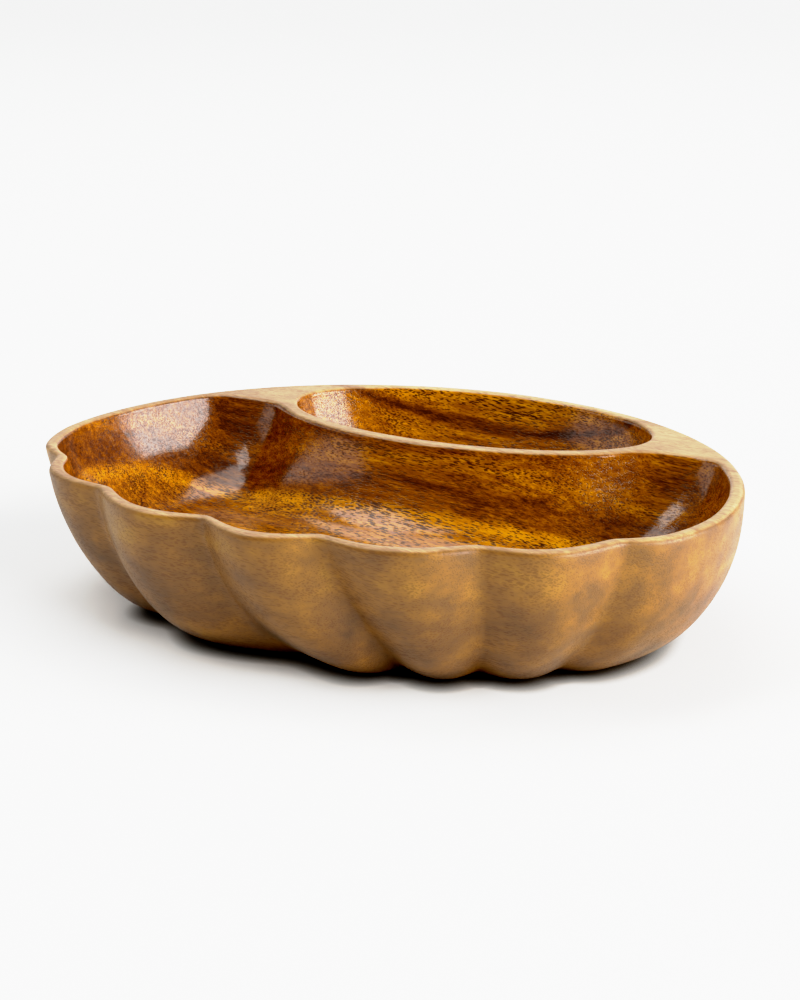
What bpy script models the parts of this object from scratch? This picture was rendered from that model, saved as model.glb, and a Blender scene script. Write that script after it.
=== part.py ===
"""Chip and dip server: a scallop shell carved from one piece of hardwood.

X runs along the hinge of the shell, -Y points to the scalloped front, +Z is up.
The origin lies under the middle of the bowl, on the surface it stands on.
All lengths are in metres.
"""
import bmesh
import bpy
import math
from mathutils import Vector

# Whole bowl
WIDTH = 0.3125           # hinge direction, over the side walls
FRONT_REACH = 0.1070     # from the widest line to the tips of the front lobes
BACK_REACH = 0.1425      # from the widest line to the hinge side
HEIGHT = 0.066

# Scalloped front
CENTRE_LOBE = 20.4       # degrees of the oval taken by the middle lobe
LOBE = 25.2              # degrees of the oval taken by each of the other lobes
LOBE_PAIRS = 3           # lobes on each side of the middle one
GROOVE_DEPTH = 0.0092    # middle grooves, measured in from the lobe tips
GROOVE_FADE = 0.34       # share of that depth lost at the outermost grooves
GROOVE_SOFTNESS = 0.14   # rounds the bottom of each groove
GROOVE_GAIN = 0.25       # extra share of that depth by the foot
GROOVE_SWING = 0.12      # share of its angle each groove has swung to the middle by the foot

# Outer wall, from the rim down to the foot
SIDE_INSET = 0.044       # foot set in from the rim at the two ends
FRONT_INSET = 0.0415
BACK_INSET = 0.041
WALL_TURN = 84.0         # degrees the wall has turned by the time it meets the foot
FRONT_LATE = 1.0         # above 1 keeps the upper wall upright for longer
BACK_LATE = 1.2

# Rim
RIM = 0.0066             # wall thickness at the top
RIM_ROUND = 0.0026       # outer edge
LIP_ROUND = 0.0022       # edges of both wells
WELL_SLOPE = 18.0        # degrees both well walls already lean just under the lip

# Dip well at the hinge
DIP_HALF_WIDTH = 0.0875
DIP_DEPTH = 0.040
DIP_WALL_INSET = 0.033   # how far its wall runs in before it reaches the floor

# Divider between the wells
DIVIDER = 0.0078         # thickness on the centre line
DIVIDER_SPREAD = 0.0003  # extra thickness toward its two ends

# Chip well
WELL_START = 0.0915      # widest line of the dip well, behind the widest line of the bowl
HORN_REACH = 0.0750      # how far back its two horns run, from the widest line
CHIP_DEPTH = 0.042
WELL_INSET = 0.042       # how far its wall runs in before it reaches the floor
LIP_WAVE = 0.82          # share of the groove depth seen on the inner edge
DIVIDER_LEAN = 0.75      # run of its chip side, over that of the outer walls
HORN_BLEND = 0.010       # rounding where the horns meet the side wall
DIVIDER_BLEND = 0.008

# Steps along the rings
LOBE_STEPS = 18
BACK_STEPS = 58
WALL_STEPS = 10
WELL_STEPS = 8
ROUND_STEPS = 3
CLEAR = 0.004            # cutters stand this far above the rim

HALF_WIDTH = WIDTH / 2
LAST_GROOVE = CENTRE_LOBE / 2 + (LOBE_PAIRS - 1) * LOBE
DIP_HALF_DEPTH = BACK_REACH - RIM - WELL_START
WELL_CENTRE = Vector((0.0, -0.012))


def ring_angles():
    """Angles round the oval from the front, with one on every groove."""
    grooves = [CENTRE_LOBE / 2 + i * LOBE for i in range(LOBE_PAIRS)]
    edge = LAST_GROOVE + LOBE / 2
    marks = [-edge] + [-g for g in reversed(grooves)] + grooves + [edge]
    angles = []
    for start, end in zip(marks, marks[1:]):
        steps = max(2, round(LOBE_STEPS * (end - start) / LOBE))
        angles += [start + (end - start) * i / steps for i in range(steps)]
    around = 360.0 - 2 * edge
    angles += [edge + around * i / BACK_STEPS for i in range(BACK_STEPS)]
    return [math.radians(a) for a in angles]


def groove(angle):
    """0 on the lobe tips and along the smooth back, up to 1 in the grooves."""
    away = abs(math.degrees(math.remainder(angle, 2 * math.pi)))
    half = CENTRE_LOBE / 2
    if away <= half:
        phase = away / CENTRE_LOBE
    elif away <= LAST_GROOVE:
        phase = abs(((away - half) / LOBE) % 1.0 - 0.5)
    else:
        phase = max(0.0, 0.5 - (away - LAST_GROOVE) / LOBE)
    soft = GROOVE_SOFTNESS
    bulge = math.hypot(math.cos(math.pi * phase), soft) - soft
    bulge /= math.hypot(1.0, soft) - soft
    return (1.0 - bulge) * (1.0 - GROOVE_FADE * min(1.0, away / LAST_GROOVE))


def reach(angle):
    return FRONT_REACH if math.cos(angle) > 0 else BACK_REACH


def oval(angle):
    """Point on the smooth oval that touches all the lobe tips."""
    return Vector((HALF_WIDTH * math.sin(angle), -reach(angle) * math.cos(angle)))


def outward(angle):
    """Direction square to the oval at that point."""
    return Vector((math.sin(angle) / HALF_WIDTH, -math.cos(angle) / reach(angle))).normalized()


def wall_point(angle, fall):
    """Outer wall, with fall going from 0 at the rim to 1 at the foot."""
    front = 0.5 + 0.5 * math.tanh(4 * math.cos(angle))
    turned = math.radians(WALL_TURN)
    lean = math.asin(fall * math.sin(turned))
    late = BACK_LATE + (FRONT_LATE - BACK_LATE) * front
    share = ((1 - math.cos(lean)) / (1 - math.cos(turned))) ** late
    end_inset = BACK_INSET + (FRONT_INSET - BACK_INSET) * front
    side = math.sin(angle) ** 2
    inset = share * (end_inset + (SIDE_INSET - end_inset) * side)
    swung = angle * (1 + GROOVE_SWING * fall ** 1.5)
    inset += GROOVE_DEPTH * groove(swung) * (1 + GROOVE_GAIN * fall)
    spot = oval(angle) - outward(angle) * inset
    return Vector((spot.x, spot.y, HEIGHT * (1 - fall)))


def smooth_max(a, b, blend):
    return max(a, b) + max(blend - abs(a - b), 0.0) ** 2 / (4 * blend)


def chip_outline(angle, inset):
    """Edge of the chip well, drawn in evenly by the inset."""
    rim_spot = oval(angle)
    ray = rim_spot - WELL_CENTRE
    length = ray.length
    ray.normalize()
    square = max(0.3, ray.dot(outward(angle)))
    wave = LIP_WAVE * max(0.0, 1 - inset / WELL_INSET)
    margin = RIM + inset + GROOVE_DEPTH * groove(angle) * wave
    block_x = DIP_HALF_WIDTH + DIVIDER + DIVIDER_SPREAD + inset
    block_y = DIP_HALF_DEPTH + DIVIDER + inset * DIVIDER_LEAN

    def outside(r):
        spot = WELL_CENTRE + ray * r
        past_wall = (r - length) * square + margin
        ratio = math.hypot(spot.x / block_x, (spot.y - WELL_START) / block_y)
        past_divider = (1 - ratio) * block_y
        past_horn = spot.y - (HORN_REACH - inset)
        past_back = smooth_max(past_divider, past_horn, DIVIDER_BLEND)
        return smooth_max(past_wall, past_back, HORN_BLEND + inset / 2)

    near, far = 0.0, length
    for _ in range(40):
        middle = (near + far) / 2
        if outside(middle) > 0:
            far = middle
        else:
            near = middle
    return WELL_CENTRE + ray * near


def dip_outline(angle, inset):
    """Edge of the oval dip well, drawn in evenly by the inset."""
    return Vector((
        (DIP_HALF_WIDTH - inset) * math.sin(angle),
        WELL_START - (DIP_HALF_DEPTH - inset) * math.cos(angle),
    ))


def well_rings(outline, angles, depth, wall_inset):
    """Rings of a well from above the rim, over the rounded lip, down to the floor."""
    sections = [(-LIP_ROUND, HEIGHT + CLEAR)]
    for i in range(ROUND_STEPS):
        lean = math.pi / 2 * i / ROUND_STEPS
        sections.append((-LIP_ROUND * (1 - math.sin(lean)), HEIGHT - LIP_ROUND * (1 - math.cos(lean))))
    wall = depth - LIP_ROUND
    start = math.radians(WELL_SLOPE)
    for i in range(WELL_STEPS + 1):
        lean = start + (math.pi / 2 - start) * i / WELL_STEPS
        run = 1 - math.cos(lean) / math.cos(start)
        sink = (math.sin(lean) - math.sin(start)) / (1 - math.sin(start))
        sections.append((wall_inset * run, HEIGHT - LIP_ROUND - wall * sink))
    rings = []
    for inset, z in sections:
        rings.append([(*outline(a, inset), z) for a in angles])
    return rings


def body_rings(angles):
    """Rings of the outside from the flat top, over the rim edge, down to the foot."""
    rings = []
    for i in range(ROUND_STEPS + 1):
        lean = math.pi / 2 * i / ROUND_STEPS
        tuck = RIM_ROUND * (1 - math.sin(lean))
        fall = RIM_ROUND * (1 - math.cos(lean)) / HEIGHT
        ring = []
        for a in angles:
            spot = wall_point(a, fall)
            spot.xy -= outward(a) * tuck
            ring.append(spot)
        rings.append(ring)
    top = RIM_ROUND / HEIGHT
    for i in range(1, WALL_STEPS + 1):
        lean = math.pi / 2 * i / WALL_STEPS
        fall = min(1.0, top + (1 - top) * math.sin(lean))
        rings.append([wall_point(a, fall) for a in angles])
    return rings


def loft(name, rings, shift):
    """Closed solid: neighbouring rings bridged, both ends capped."""
    bm = bmesh.new()
    loops = []
    for ring in rings:
        verts = [bm.verts.new(p) for p in ring]
        loops.append([bm.edges.new((v, verts[i - 1])) for i, v in enumerate(verts)])
    bmesh.ops.edgeloop_fill(bm, edges=loops[0])
    bmesh.ops.edgeloop_fill(bm, edges=loops[-1])
    for upper, lower in zip(loops, loops[1:]):
        bmesh.ops.bridge_loops(bm, edges=upper + lower)
    bmesh.ops.translate(bm, verts=bm.verts, vec=shift)
    bmesh.ops.recalc_face_normals(bm, faces=bm.faces)
    mesh = bpy.data.meshes.new(name)
    bm.to_mesh(mesh)
    bm.free()
    return bpy.data.objects.new(name, mesh)


def varnished_wood():
    material = bpy.data.materials.new("varnished_hardwood")
    material.use_nodes = True
    shader = material.node_tree.nodes["Principled BSDF"]
    shader.inputs["Base Color"].default_value = (0.30, 0.12, 0.03, 1.0)
    shader.inputs["Roughness"].default_value = 0.35
    return material


def cut(body, cutter, cutters):
    cutters.objects.link(cutter)
    cutter.hide_render = True
    cutter.display_type = "WIRE"
    step = body.modifiers.new(cutter.name, "BOOLEAN")
    step.operation = "DIFFERENCE"
    step.solver = "EXACT"
    step.object = cutter


for old in list(bpy.data.objects):
    bpy.data.objects.remove(old, do_unlink=True)

server = bpy.data.collections.new("chip_and_dip_server")
cutters = bpy.data.collections.new("cutters")
bpy.context.scene.collection.children.link(server)
bpy.context.scene.collection.children.link(cutters)

turns = ring_angles()
outside_rings = body_rings(turns)
reaches = [p.y for ring in outside_rings for p in ring]
to_origin = Vector((0.0, -(min(reaches) + max(reaches)) / 2, 0.0))

bowl = loft("carved_bowl", outside_rings, to_origin)
server.objects.link(bowl)
bowl.data.materials.append(varnished_wood())

chip_rings = well_rings(chip_outline, turns, CHIP_DEPTH, WELL_INSET)
cut(bowl, loft("chip_well", chip_rings, to_origin), cutters)

dip_turns = [2 * math.pi * i / 96 for i in range(96)]
dip_rings = well_rings(dip_outline, dip_turns, DIP_DEPTH, DIP_WALL_INSET)
cut(bowl, loft("dip_well", dip_rings, to_origin), cutters)

for face in bowl.data.polygons:
    face.use_smooth = True
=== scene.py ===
import math

import bmesh
import bpy
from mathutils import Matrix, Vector


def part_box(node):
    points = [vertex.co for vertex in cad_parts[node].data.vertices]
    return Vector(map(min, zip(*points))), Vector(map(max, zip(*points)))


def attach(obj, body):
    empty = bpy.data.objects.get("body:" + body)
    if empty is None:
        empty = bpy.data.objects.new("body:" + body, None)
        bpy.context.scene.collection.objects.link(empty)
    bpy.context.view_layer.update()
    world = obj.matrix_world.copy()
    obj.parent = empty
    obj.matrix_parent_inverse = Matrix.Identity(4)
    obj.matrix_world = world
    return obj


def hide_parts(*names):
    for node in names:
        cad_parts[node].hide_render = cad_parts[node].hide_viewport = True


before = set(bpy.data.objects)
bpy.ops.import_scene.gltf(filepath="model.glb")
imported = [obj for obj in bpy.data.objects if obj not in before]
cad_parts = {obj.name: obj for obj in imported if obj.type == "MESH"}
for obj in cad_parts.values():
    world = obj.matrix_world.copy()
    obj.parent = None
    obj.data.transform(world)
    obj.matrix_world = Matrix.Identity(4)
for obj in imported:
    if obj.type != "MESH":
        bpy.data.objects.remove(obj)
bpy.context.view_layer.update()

# ---------------------------------------------------------------------------
# Carved bowl
# The whole server is one block of open-pored tropical hardwood, its grain
# running along the hinge. The scallop shell, the chip well and the dip well
# are carved out of it, sanded, stained and varnished.
# ---------------------------------------------------------------------------

box_low, box_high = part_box("carved_bowl")
half_width = (box_high.x - box_low.x) / 2
height = box_high.z
front_reach = 0.1070         # widest line of the shell to the tips of the front lobes
back_reach = 0.1425          # widest line to the hinge
widest_line = Vector((0.0, box_low.y + front_reach, 0.0))

side_inset = 0.044           # the foot sits this far in from the rim
front_inset = 0.0415
back_inset = 0.041
wall_turn = math.radians(84)
front_late = 1.0
back_late = 1.2

left_draw = 0.0085           # the carver drew the left front in further on the way down
left_middle = -68            # degrees round the shell
left_spread = 24
left_full = 0.7              # share of the way down where the draw is full
well_start_turn = math.radians(18)   # the well walls already slope at the lip

rim = 0.0066
rim_round = 0.0026
lip_round = 0.0022

dip_half_width = 0.0875
dip_depth = 0.040
dip_wall_inset = 0.033
dip_line = 0.0915            # widest line of the dip well
dip_half_depth = back_reach - rim - dip_line

divider = 0.0078
divider_spread = 0.0003
divider_blend = 0.008        # rounding between the divider and the horns
divider_lean = 0.75          # run of its chip side, over that of the outer walls
horn_reach = 0.0750          # how far back the chip well's two horns run
horn_blend = 0.010           # rounding between the horns and the outer wall
chip_depth = 0.042
well_inset = 0.042
lip_wave = 0.82
well_middle = Vector((0.0, -0.012))

centre_lobe = 20.4           # degrees of the oval
side_lobe = 25.2
lobe_pairs = 3
groove_depth = 0.0092
groove_gain = 0.25           # the grooves are this much deeper at the foot
groove_swing = 0.12          # and swing this much to the middle
run_off = 15.5               # degrees that the middle grooves run off by the foot
run_off_middle = 12
run_off_spread = 22.4

around = 560                 # columns round the bowl
dip_around = 280
round_steps = 6              # rings in a rounded edge
shell_steps = 34             # rings down the shell's wall
chip_steps = 30
dip_steps = 26


def reach(turn):
    return front_reach if math.cos(turn) > 0 else back_reach


def oval(turn):
    return Vector((half_width * math.sin(turn), -reach(turn) * math.cos(turn)))


def outward(turn):
    return Vector((math.sin(turn) / half_width, -math.cos(turn) / reach(turn))).normalized()


def shell_wall(turn, fall):
    """Smooth outer wall before the flutes are cut, fall 0 at the rim and 1 at the foot."""
    front = 0.5 + 0.5 * math.tanh(4 * math.cos(turn))
    lean = math.asin(min(1.0, fall * math.sin(wall_turn)))
    late = back_late + (front_late - back_late) * front
    share = ((1 - math.cos(lean)) / (1 - math.cos(wall_turn))) ** late
    end_inset = back_inset + (front_inset - back_inset) * front
    inset = share * (end_inset + (side_inset - end_inset) * math.sin(turn) ** 2)
    left_front = math.exp(-((math.degrees(turn) - left_middle) / left_spread) ** 2)
    inset += left_draw * left_front * min(1.0, fall / left_full)
    spot = oval(turn) - outward(turn) * inset
    return Vector((spot.x, spot.y, height * (1 - fall)))


def smooth_max(a, b, blend):
    return max(a, b) + max(blend - abs(a - b), 0.0) ** 2 / (4 * blend)


def chip_edge(turn, inset):
    """Edge of the chip well, drawn in evenly by the inset, before the flutes are cut."""
    ray = oval(turn) - well_middle
    length = ray.length
    ray.normalize()
    square = max(0.3, ray.dot(outward(turn)))
    block_x = dip_half_width + divider + divider_spread + inset
    block_y = dip_half_depth + divider + inset * divider_lean

    def past(r):
        spot = well_middle + ray * r
        wall = (r - length) * square + rim + inset
        back = (1 - math.hypot(spot.x / block_x, (spot.y - dip_line) / block_y)) * block_y
        back = smooth_max(back, spot.y - (horn_reach - inset), divider_blend)
        return wall, back, smooth_max(wall, back, horn_blend + inset / 2)

    near, far = 0.0, length
    for _ in range(40):
        middle = (near + far) / 2
        if past(middle)[2] > 0:
            far = middle
        else:
            near = middle
    wall, back, _ = past(near)
    front = 1 / (1 + math.exp(min(60.0, (back - wall) / 0.004)))
    return well_middle + ray * near, front


def flute_turn(turn, fall):
    """Degrees round the flutes: they swing to the middle on the way down, and the carver
    let the middle ones run off to the right."""
    degrees = math.degrees(turn)
    away = (degrees - run_off_middle) / run_off_spread
    sink = fall ** 1.5
    return degrees * (1 + groove_swing * sink) - run_off * math.exp(-away * away) * sink


def ring(turns, place):
    """One ring of a loft: (position, degrees round the shell, depth share of the flutes)."""
    return [place(t) for t in turns]


def body_rings(turns):
    rings = []
    for i in range(round_steps + 1):
        lean = math.pi / 2 * i / round_steps
        tuck = rim_round * (1 - math.sin(lean))
        fall = rim_round * (1 - math.cos(lean)) / height

        def edge(t, tuck=tuck, fall=fall):
            spot = shell_wall(t, fall)
            spot.xy -= outward(t) * tuck
            return spot, math.degrees(t), 1 + groove_gain * fall
        rings.append(ring(turns, edge))
    top = rim_round / height
    for i in range(1, shell_steps + 1):
        fall = min(1.0, top + (1 - top) * math.sin(math.pi / 2 * i / shell_steps))

        def wall(t, fall=fall):
            return shell_wall(t, fall), flute_turn(t, fall), 1 + groove_gain * fall
        rings.append(ring(turns, wall))
    return rings


def well_sections(depth, wall_inset, steps):
    """(inset, height) down a well: above the rim, over the rounded lip, down to the floor."""
    sections = [(-lip_round, height + 0.004)]
    for i in range(round_steps):
        lean = math.pi / 2 * i / round_steps
        sections.append((-lip_round * (1 - math.sin(lean)), height - lip_round * (1 - math.cos(lean))))
    for i in range(steps + 1):
        lean = well_start_turn + (math.pi / 2 - well_start_turn) * i / steps
        run = 1 - math.cos(lean) / math.cos(well_start_turn)
        sink = (math.sin(lean) - math.sin(well_start_turn)) / (1 - math.sin(well_start_turn))
        sections.append((wall_inset * run, height - lip_round - (depth - lip_round) * sink))
    return sections


def chip_rings(turns):
    rings = []
    for inset, z in well_sections(chip_depth, well_inset, chip_steps):
        wave = lip_wave * max(0.0, 1 - inset / well_inset)

        def edge(t, inset=inset, z=z, wave=wave):
            spot, front = chip_edge(t, inset)
            return Vector((spot.x, spot.y, z)), math.degrees(t), wave * front
        rings.append(ring(turns, edge))
    return rings


def dip_rings(turns):
    rings = []
    for inset, z in well_sections(dip_depth, dip_wall_inset, dip_steps):
        def edge(t, inset=inset, z=z):
            spot = Vector((
                (dip_half_width - inset) * math.sin(t),
                dip_line - (dip_half_depth - inset) * math.cos(t),
                z,
            ))
            return spot, 180.0, 0.0
        rings.append(ring(turns, edge))
    return rings


def loft(name, rings):
    """Closed solid through the rings, with the flute values kept on its points."""
    bm = bmesh.new()
    turn_layer = bm.verts.layers.float.new("turn")
    share_layer = bm.verts.layers.float.new("flute_share")
    loops = []
    for spots in rings:
        verts = []
        for spot, turn, share in spots:
            v = bm.verts.new(spot)
            v[turn_layer] = turn
            v[share_layer] = share
            verts.append(v)
        loops.append([bm.edges.new((v, verts[i - 1])) for i, v in enumerate(verts)])
    bmesh.ops.edgeloop_fill(bm, edges=loops[0])
    bmesh.ops.edgeloop_fill(bm, edges=loops[-1])
    for upper, lower in zip(loops, loops[1:]):
        bmesh.ops.bridge_loops(bm, edges=upper + lower)
    bmesh.ops.translate(bm, verts=bm.verts, vec=widest_line)
    bmesh.ops.recalc_face_normals(bm, faces=bm.faces)
    mesh = bpy.data.meshes.new(name)
    bm.to_mesh(mesh)
    bm.free()
    obj = bpy.data.objects.new(name, mesh)
    bpy.context.scene.collection.objects.link(obj)
    return obj


def flute_tree():
    """Geometry Nodes that cut the flutes: each point is drawn in by the groove at its place
    round the shell, and the whole surface wanders a little, as a hand-held tool leaves it."""
    tree = bpy.data.node_groups.new("cut_flutes", "GeometryNodeTree")
    face = tree.interface
    face.new_socket("Geometry", in_out="INPUT", socket_type="NodeSocketGeometry")
    for name, value in (
        ("Middle Lobe", centre_lobe), ("Side Lobe", side_lobe), ("Lobe Pairs", lobe_pairs),
        ("Groove Depth", groove_depth), ("Groove Fade", 0.34), ("Groove Softness", 0.14),
        ("Half Width", half_width), ("Front Reach", front_reach), ("Back Reach", back_reach),
        ("Widest Line", widest_line.y), ("Tool Wander", 0.0006), ("Wander Size", 26.0),
    ):
        socket = face.new_socket(name, in_out="INPUT", socket_type="NodeSocketFloat")
        socket.default_value = value
    face.new_socket("Finish", in_out="INPUT", socket_type="NodeSocketMaterial")
    face.new_socket("Geometry", in_out="OUTPUT", socket_type="NodeSocketGeometry")
    nodes, links = tree.nodes, tree.links
    given = nodes.new("NodeGroupInput").outputs

    def plug(value, socket):
        if isinstance(value, (int, float)):
            socket.default_value = value
        else:
            links.new(value, socket)

    def math_node(operation, *values):
        node = nodes.new("ShaderNodeMath")
        node.operation = operation
        for value, socket in zip(values, node.inputs):
            plug(value, socket)
        return node.outputs[0]

    def stored(name):
        node = nodes.new("GeometryNodeInputNamedAttribute")
        node.data_type = "FLOAT"
        node.inputs["Name"].default_value = name
        return node.outputs["Attribute"]

    turn = stored("turn")
    away = math_node("ABSOLUTE", turn)
    half = math_node("MULTIPLY", given["Middle Lobe"], 0.5)
    pairs = math_node("SUBTRACT", given["Lobe Pairs"], 1.0)
    last = math_node("MULTIPLY_ADD", pairs, given["Side Lobe"], half)
    middle_phase = math_node("DIVIDE", away, given["Middle Lobe"])
    beyond = math_node("DIVIDE", math_node("SUBTRACT", away, half), given["Side Lobe"])
    side_phase = math_node("ABSOLUTE", math_node("SUBTRACT", math_node("FRACT", beyond), 0.5))
    past_last = math_node("DIVIDE", math_node("SUBTRACT", away, last), given["Side Lobe"])
    end_phase = math_node("MAXIMUM", math_node("SUBTRACT", 0.5, past_last), 0.0)

    def choose(test, yes, no):
        """yes where test is 1, no where it is 0"""
        node = nodes.new("ShaderNodeMix")
        node.data_type = "FLOAT"
        links.new(test, node.inputs["Factor"])
        links.new(no, node.inputs["A"])
        links.new(yes, node.inputs["B"])
        return node.outputs["Result"]

    outer_phase = choose(math_node("GREATER_THAN", away, last), end_phase, side_phase)
    phase = choose(math_node("LESS_THAN", away, half), middle_phase, outer_phase)
    soft = given["Groove Softness"]
    wave = math_node("COSINE", math_node("MULTIPLY", phase, math.pi))
    soft_square = math_node("MULTIPLY", soft, soft)
    rounded = math_node("SQRT", math_node("MULTIPLY_ADD", wave, wave, soft_square))
    crown = math_node("SQRT", math_node("ADD", soft_square, 1.0))
    bulge = math_node("DIVIDE", math_node("SUBTRACT", rounded, soft), math_node("SUBTRACT", crown, soft))
    to_last = math_node("MINIMUM", math_node("DIVIDE", away, last), 1.0)
    faded = math_node("MULTIPLY", to_last, given["Groove Fade"])
    depth = math_node("MULTIPLY", math_node("SUBTRACT", 1.0, bulge), math_node("SUBTRACT", 1.0, faded))
    depth = math_node("MULTIPLY", depth, given["Groove Depth"])
    depth = math_node("MULTIPLY", depth, stored("flute_share"))

    place = nodes.new("GeometryNodeInputPosition").outputs["Position"]
    parts = nodes.new("ShaderNodeSeparateXYZ")
    links.new(place, parts.inputs[0])
    from_line = math_node("SUBTRACT", parts.outputs["Y"], given["Widest Line"])
    depth_reach = choose(math_node("LESS_THAN", from_line, 0.0), given["Front Reach"], given["Back Reach"])
    out = nodes.new("ShaderNodeCombineXYZ")
    width_square = math_node("MULTIPLY", given["Half Width"], given["Half Width"])
    flat_x = math_node("DIVIDE", parts.outputs["X"], width_square)
    flat_y = math_node("DIVIDE", from_line, math_node("MULTIPLY", depth_reach, depth_reach))
    links.new(flat_x, out.inputs["X"])
    links.new(flat_y, out.inputs["Y"])
    square = nodes.new("ShaderNodeVectorMath")
    square.operation = "NORMALIZE"
    links.new(out.outputs[0], square.inputs[0])

    noise = nodes.new("ShaderNodeTexNoise")
    noise.noise_dimensions = "3D"
    noise.inputs["Detail"].default_value = 1.0
    links.new(place, noise.inputs["Vector"])
    links.new(given["Wander Size"], noise.inputs["Scale"])
    wander = math_node("MULTIPLY", math_node("SUBTRACT", noise.outputs[0], 0.5), given["Tool Wander"])
    shift = math_node("SUBTRACT", math_node("MULTIPLY", wander, 2.0), depth)
    push = nodes.new("ShaderNodeVectorMath")
    push.operation = "SCALE"
    links.new(square.outputs["Vector"], push.inputs[0])
    links.new(shift, push.inputs["Scale"])

    move = nodes.new("GeometryNodeSetPosition")
    links.new(given["Geometry"], move.inputs["Geometry"])
    links.new(push.outputs["Vector"], move.inputs["Offset"])
    real = nodes.new("GeometryNodeRealizeInstances")
    links.new(move.outputs["Geometry"], real.inputs["Geometry"])
    finish = nodes.new("GeometryNodeSetMaterial")
    links.new(real.outputs["Geometry"], finish.inputs["Geometry"])
    links.new(given["Finish"], finish.inputs["Material"])
    links.new(finish.outputs["Geometry"], nodes.new("NodeGroupOutput").inputs["Geometry"])
    return tree


def settle(obj):
    """The object with its modifiers turned into plain mesh, and the modifiers gone."""
    bpy.context.view_layer.update()
    made = obj.evaluated_get(bpy.context.evaluated_depsgraph_get())
    mesh = bpy.data.meshes.new_from_object(made)
    obj.modifiers.clear()
    obj.data = mesh
    return obj


def input_key(tree, name):
    for item in tree.interface.items_tree:
        if item.item_type == "SOCKET" and item.in_out == "INPUT" and item.name == name:
            return item.identifier


def fluted(obj, tree, material):
    cut = obj.modifiers.new("flutes", "NODES")
    cut.node_group = tree
    cut[input_key(tree, "Finish")] = material
    return settle(obj)


# Finish: the open-pored wood under clear varnish. Its figure is solid, so the bands,
# fibres and pores run through the block and come out where the walls cut them.

material = bpy.data.materials.new("varnished_hardwood")
material.use_nodes = True
nodes, links = material.node_tree.nodes, material.node_tree.links
shader = nodes["Principled BSDF"]


def feed(values, sockets):
    """Links a socket's value, or types in a number or a colour."""
    for value, socket in zip(values, sockets):
        if isinstance(value, bpy.types.NodeSocket):
            links.new(value, socket)
        else:
            socket.default_value = value


def wood_math(operation, *values):
    node = nodes.new("ShaderNodeMath")
    node.operation = operation
    feed(values, node.inputs)
    return node.outputs[0]


def wood_mix(kind, factor, a, b):
    """a where the factor is 0, b where it is 1; the kind is RGBA or FLOAT."""
    node = nodes.new("ShaderNodeMix")
    node.data_type = kind
    first, result = (6, 2) if kind == "RGBA" else (2, 0)
    feed((factor, a, b), (node.inputs[0], node.inputs[first], node.inputs[first + 1]))
    return node.outputs[result]


def stretched(spot, size):
    """Coordinates in cells of the given size, in metres."""
    node = nodes.new("ShaderNodeMapping")
    node.inputs["Scale"].default_value = [1 / s for s in size]
    links.new(spot, node.inputs["Vector"])
    return node.outputs["Vector"]


def wood_noise(vector, detail=2.0, rough=0.5, distortion=0.0):
    node = nodes.new("ShaderNodeTexNoise")
    node.inputs["Scale"].default_value = 1.0
    node.inputs["Detail"].default_value = detail
    node.inputs["Roughness"].default_value = rough
    node.inputs["Distortion"].default_value = distortion
    links.new(vector, node.inputs["Vector"])
    return node.outputs[0]


def ramp(value, stops):
    node = nodes.new("ShaderNodeValToRGB")
    node.color_ramp.interpolation = "LINEAR"
    while len(node.color_ramp.elements) < len(stops):
        node.color_ramp.elements.new(0.5)
    for element, (at, colour) in zip(node.color_ramp.elements, stops):
        element.position = at
        element.color = (*colour, 1.0)
    links.new(value, node.inputs[0])
    return node.outputs[0]


def grade(value, low, high):
    """0 below low, 1 above high, smooth between."""
    node = nodes.new("ShaderNodeMapRange")
    node.interpolation_type = "SMOOTHSTEP"
    node.inputs["From Min"].default_value = low
    node.inputs["From Max"].default_value = high
    links.new(value, node.inputs["Value"])
    return node.outputs["Result"]


spot = nodes.new("ShaderNodeTexCoord").outputs["Object"]
spot_parts = nodes.new("ShaderNodeSeparateXYZ")
links.new(spot, spot_parts.inputs[0])

# Growth layers: shells round a pith line under the front of the block, with a slow swerve
swerve = wood_noise(stretched(spot, (0.150, 0.050, 0.050)), 2.0, 0.45)
swerve = wood_math("MULTIPLY", wood_math("SUBTRACT", swerve, 0.5), 0.016)
across = nodes.new("ShaderNodeCombineXYZ")
links.new(wood_math("ADD", spot_parts.outputs["Y"], 0.0286), across.inputs["Y"])
links.new(wood_math("ADD", spot_parts.outputs["Z"], 0.0480), across.inputs["Z"])
from_pith = nodes.new("ShaderNodeVectorMath")
from_pith.operation = "LENGTH"
links.new(across.outputs[0], from_pith.inputs[0])
layer = wood_math("ADD", from_pith.outputs["Value"], swerve)
first_layer = 0.060          # metres from the pith
layer_span = 0.130
layer_share = wood_math("MULTIPLY_ADD", layer, 1 / layer_span, -first_layer / layer_span)
layer_stops = (
    (0.060, 0.48), (0.078, 0.52), (0.088, 0.58), (0.0915, 0.73), (0.0945, 0.68), (0.098, 0.38),
    (0.108, 0.30), (0.113, 0.46), (0.117, 0.54), (0.122, 0.42), (0.133, 0.36), (0.146, 0.40), (0.158, 0.48),
    (0.169, 0.52), (0.1725, 0.12), (0.1765, 0.56), (0.183, 0.66), (0.190, 0.56),
)
bands = ramp(layer_share, [((at - first_layer) / layer_span, (v, v, v)) for at, v in layer_stops])

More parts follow.
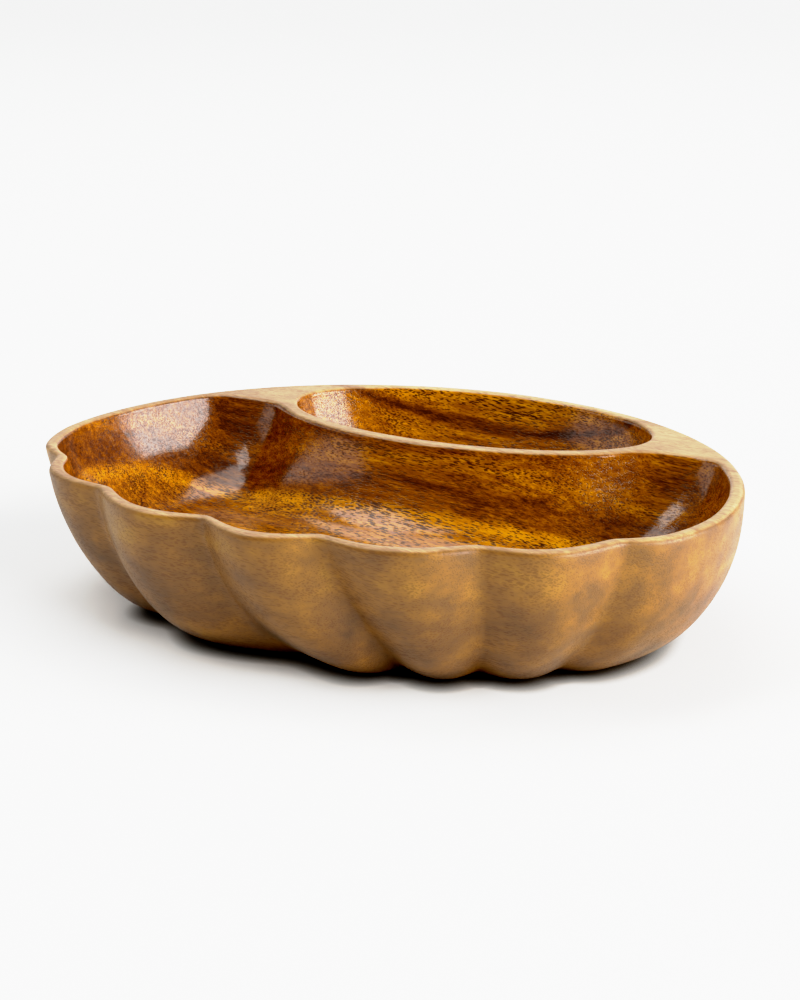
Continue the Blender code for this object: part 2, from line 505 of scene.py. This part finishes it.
# Streaks, fibres and pores all run with the grain, which slopes a little against the hinge
grain = nodes.new("ShaderNodeMapping")
grain.inputs["Rotation"].default_value = (0.0, math.radians(-5.0), math.radians(2.0))
links.new(spot, grain.inputs["Vector"])
grain = grain.outputs["Vector"]
streaks = wood_noise(stretched(grain, (0.034, 0.0024, 0.0024)), 5.0, 0.62, 0.3)
fibres = wood_noise(stretched(grain, (0.0042, 0.0006, 0.0006)), 3.0, 0.65)
blotches = wood_noise(stretched(spot, (0.022, 0.012, 0.012)), 3.0, 0.55)
pore_room = wood_noise(stretched(grain, (0.030, 0.007, 0.007)), 1.0)
cells = nodes.new("ShaderNodeTexVoronoi")
cells.feature = "F1"
cells.inputs["Scale"].default_value = 1.0
links.new(stretched(grain, (0.0040, 0.00064, 0.00064)), cells.inputs["Vector"])
pore_reach = wood_math("MULTIPLY_ADD", pore_room, 0.50, 0.14)
pores = wood_math("SUBTRACT", pore_reach, cells.outputs["Distance"])
pores = grade(pores, -0.06, 0.08)

tone = wood_math("MULTIPLY_ADD", wood_math("SUBTRACT", streaks, 0.5), 0.95, bands)
tone = wood_math("MULTIPLY_ADD", wood_math("SUBTRACT", blotches, 0.5), 0.25, tone)
tone = wood_math("MULTIPLY_ADD", wood_math("SUBTRACT", fibres, 0.5), 0.70, tone)
# Painted shade: the colour is darker towards the left end of the block, where less light falls
painted_shade_left_end = grade(spot_parts.outputs["X"], -0.125, -0.060)
tone = wood_math("MULTIPLY_ADD", painted_shade_left_end, 0.13, wood_math("SUBTRACT", tone, 0.13))

in_well = nodes.new("ShaderNodeAttribute")
in_well.attribute_name = "in_well"
in_well = in_well.outputs["Fac"]
rim_uneven = wood_math("MULTIPLY", wood_noise(stretched(spot, (0.02, 0.012, 0.012))), 0.0010)
top_level = wood_math("ADD", spot_parts.outputs["Z"], rim_uneven)
on_rim = grade(top_level, height - 0.0006, height + 0.0003)

well_colour = ramp(tone, (
    (0.10, (0.066, 0.018, 0.0012)),
    (0.30, (0.165, 0.050, 0.0018)),
    (0.46, (0.262, 0.092, 0.0024)),
    (0.62, (0.395, 0.158, 0.0034)),
    (0.82, (0.590, 0.270, 0.0060)),
))
pore_depth = wood_math("MULTIPLY_ADD", grade(bands, 0.30, 0.62), 0.42, 0.46)
well_pores = wood_math("MULTIPLY", pores, pore_depth)
well_colour = wood_mix("RGBA", well_pores, well_colour, (0.030, 0.008, 0.001, 1.0))

outer_tone = wood_math("MULTIPLY_ADD", wood_math("SUBTRACT", blotches, 0.5), 0.95, 0.40)
outer_tone = wood_math("MULTIPLY_ADD", wood_math("SUBTRACT", streaks, 0.5), 0.25, outer_tone)
outer_tone = wood_math("MULTIPLY_ADD", wood_math("SUBTRACT", bands, 0.5), 0.25, outer_tone)
outer_tone = wood_math("MULTIPLY_ADD", wood_math("SUBTRACT", fibres, 0.5), 0.18, outer_tone)
# Partly the wood's own tone, partly painted light: the outer wall's colour is made lighter towards the rim
outer_tone = wood_math("MULTIPLY_ADD", grade(spot_parts.outputs["Z"], 0.020, 0.064), 0.20, outer_tone)
outer_colour = ramp(outer_tone, (
    (0.15, (0.095, 0.050, 0.020)),
    (0.40, (0.155, 0.076, 0.022)),
    (0.60, (0.215, 0.103, 0.021)),
    (0.85, (0.315, 0.165, 0.024)),
))
filled_pores = wood_math("MULTIPLY", pores, 0.35)
outer_colour = wood_mix("RGBA", filled_pores, outer_colour, (0.080, 0.030, 0.010, 1.0))
rim_colour = ramp(tone, (
    (0.20, (0.262, 0.150, 0.064)),
    (0.50, (0.405, 0.260, 0.118)),
    (0.80, (0.530, 0.372, 0.185)),
))
rim_colour = wood_mix("RGBA", filled_pores, rim_colour, (0.170, 0.085, 0.050, 1.0))

colour = wood_mix("RGBA", in_well, outer_colour, well_colour)
colour = wood_mix("RGBA", on_rim, colour, rim_colour)
links.new(colour, shader.inputs["Base Color"])

smear = wood_noise(stretched(spot, (0.014, 0.010, 0.010)), 2.0)
well_gloss = wood_math("MULTIPLY_ADD", smear, 0.10, 0.08)
outer_gloss = wood_math("MULTIPLY_ADD", smear, 0.14, 0.34)
gloss = wood_mix("FLOAT", in_well, outer_gloss, well_gloss)
gloss = wood_mix("FLOAT", on_rim, gloss, 0.42)
gloss = wood_math("MULTIPLY_ADD", pores, 0.10, gloss)
links.new(gloss, shader.inputs["Roughness"])
shader.inputs["IOR"].default_value = 1.5

# Varnish follows the open pores and fibres, and dried with a slight ripple
ripple = wood_noise(stretched(spot, (0.0050, 0.0030, 0.0030)), 2.0)
relief = wood_math("MULTIPLY", ripple, 0.000045)
relief = wood_math("MULTIPLY_ADD", fibres, 0.000022, relief)
relief = wood_math("MULTIPLY_ADD", pores, -0.000030, relief)
bump = nodes.new("ShaderNodeBump")
bump.inputs["Strength"].default_value = 1.0
bump.inputs["Distance"].default_value = 1.0
links.new(relief, bump.inputs["Height"])
links.new(bump.outputs["Normal"], shader.inputs["Normal"])

turns = [-math.pi + 2 * math.pi * i / around for i in range(around)]
flutes = flute_tree()
bowl = fluted(loft("bowl_wood", body_rings(turns)), flutes, material)
chip_cut = fluted(loft("chip_cut", chip_rings(turns)), flutes, material)
dip_turns = [2 * math.pi * i / dip_around for i in range(dip_around)]
dip_cut = loft("dip_cut", dip_rings(dip_turns))
dip_cut.data.materials.append(material)
for cutter in (chip_cut, dip_cut):
    hollow = bowl.modifiers.new(cutter.name, "BOOLEAN")
    hollow.operation = "DIFFERENCE"
    hollow.solver = "EXACT"
    hollow.object = cutter
settle(bowl)
for cutter in (chip_cut, dip_cut):
    bpy.data.objects.remove(cutter, do_unlink=True)

bm = bmesh.new()
bm.from_mesh(bowl.data)
bmesh.ops.dissolve_degenerate(bm, edges=bm.edges, dist=1e-7)
flat = [f for f in bm.faces if all(abs(v.co.z - height) < 1e-6 for v in f.verts)]
base = [f for f in bm.faces if all(abs(v.co.z) < 1e-6 for v in f.verts)]
well_layer = bm.verts.layers.float.new("in_well")
fixed = set(flat) | set(base)
lowest = min(bm.verts, key=lambda v: v.co.z)
shell = set()
front_faces = [f for f in lowest.link_faces if f not in fixed]
while front_faces:
    f = front_faces.pop()
    if f in shell:
        continue
    shell.add(f)
    for e in f.edges:
        front_faces += [g for g in e.link_faces if g not in shell and g not in fixed]
for f in bm.faces:
    f.smooth = f not in fixed
    if f not in shell and f not in fixed:
        for v in f.verts:
            v[well_layer] = 1.0
bmesh.ops.triangulate(bm, faces=flat + base)
bm.to_mesh(bowl.data)
bm.free()
bowl.data.materials.clear()
bowl.data.materials.append(material)
for name in ("turn", "flute_share"):
    if name in bowl.data.attributes:
        bowl.data.attributes.remove(bowl.data.attributes[name])
bowl.name = "bowl_wood"
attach(bowl, "root")
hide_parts("carved_bowl")

# ---------------------------------------------------------------------------
# Floor, light and camera
# A plain white table in a bright room. A wide window stands on the right and a
# small one on the left, with a skylight over the back and pale walls around.
# ---------------------------------------------------------------------------

bpy.ops.mesh.primitive_plane_add(size=14.0, location=(0.0, 0.0, 0.0))
table = bpy.context.object
table.name = "table"
white = bpy.data.materials.new("white_table")
white.use_nodes = True
white_shader = white.node_tree.nodes["Principled BSDF"]
white_shader.inputs["Roughness"].default_value = 0.9
white_shader.inputs["Specular IOR Level"].default_value = 0.2
# Painted shadow: the table's colour is darkened by ambient occlusion in the narrow gap under the bowl,
# where hardly any light gets in
painted_shadow_ao = white.node_tree.nodes.new("ShaderNodeAmbientOcclusion")
painted_shadow_ao.inputs["Distance"].default_value = 0.008
painted_shadow_ramp = white.node_tree.nodes.new("ShaderNodeValToRGB")
painted_shadow_ramp.color_ramp.elements[0].position = 0.10
painted_shadow_ramp.color_ramp.elements[0].color = (0.050, 0.035, 0.020, 1.0)
painted_shadow_ramp.color_ramp.elements[1].position = 0.85
painted_shadow_ramp.color_ramp.elements[1].color = (0.90, 0.91, 0.90, 1.0)
white.node_tree.links.new(painted_shadow_ao.outputs["AO"], painted_shadow_ramp.inputs[0])
white.node_tree.links.new(painted_shadow_ramp.outputs[0], white_shader.inputs["Base Color"])
table.data.materials.append(white)

scene = bpy.context.scene
scene.view_settings.view_transform = "Standard"
world = bpy.data.worlds.new("bright_room")
scene.world = world
world.use_nodes = True
background = world.node_tree.nodes["Background"]
background.inputs["Color"].default_value = (1.0, 1.0, 1.0, 1.0)
background.inputs["Strength"].default_value = 0.56

# Response curve: deep shadows, and whites that roll off before they clip
response = scene.view_settings
response.use_curve_mapping = True
response.curve_mapping.white_level = (2.5, 2.5, 2.5)
curve = response.curve_mapping.curves[3]
for at, value in (
    (0.016, 0.002), (0.04, 0.028), (0.08, 0.092), (0.16, 0.245), (0.24, 0.40),
    (0.30, 0.54), (0.36, 0.67), (0.48, 0.81), (0.72, 0.91),
):
    curve.points.new(at, value)
curve.points[-1].location = (1.0, 0.955)
response.curve_mapping.update()


def window(name, compass, lift, away, width, tall, brightness):
    """Soft rectangular light facing the bowl; compass and lift in degrees from +X and the floor."""
    data = bpy.data.lights.new(name, "AREA")
    data.shape = "RECTANGLE"
    data.size = width
    data.size_y = tall
    data.energy = brightness * math.pi * width * tall
    lamp = bpy.data.objects.new(name, data)
    compass, lift = math.radians(compass), math.radians(lift)
    lamp.location = (
        away * math.cos(lift) * math.cos(compass),
        away * math.cos(lift) * math.sin(compass),
        away * math.sin(lift),
    )
    lamp.rotation_euler = (-lamp.location).to_track_quat("-Z", "Y").to_euler()
    scene.collection.objects.link(lamp)
    return lamp


window("window_right", 0.0, 22.0, 5.0, 6.0, 3.4, 15.5)
window("skylight", 140.0, 66.0, 4.0, 3.0, 2.2, 5.0)
window("window_left", -150.0, 54.0, 4.0, 1.6, 1.5, 8.0)
window("back_wall", 110.0, 15.0, 5.0, 7.0, 2.4, 1.8)
window("room_left", -165.0, 14.0, 5.0, 5.0, 2.0, 2.3)

camera_data = bpy.data.cameras.new("camera")
camera_data.lens = 75.6
camera_data.sensor_width = 36.0
camera = bpy.data.objects.new("camera", camera_data)
camera.location = (0.4031, -0.7733, height + 0.2464)
camera.rotation_euler = (math.radians(73.0), 0.0, math.radians(27.4))
scene.collection.objects.link(camera)
scene.camera = camera
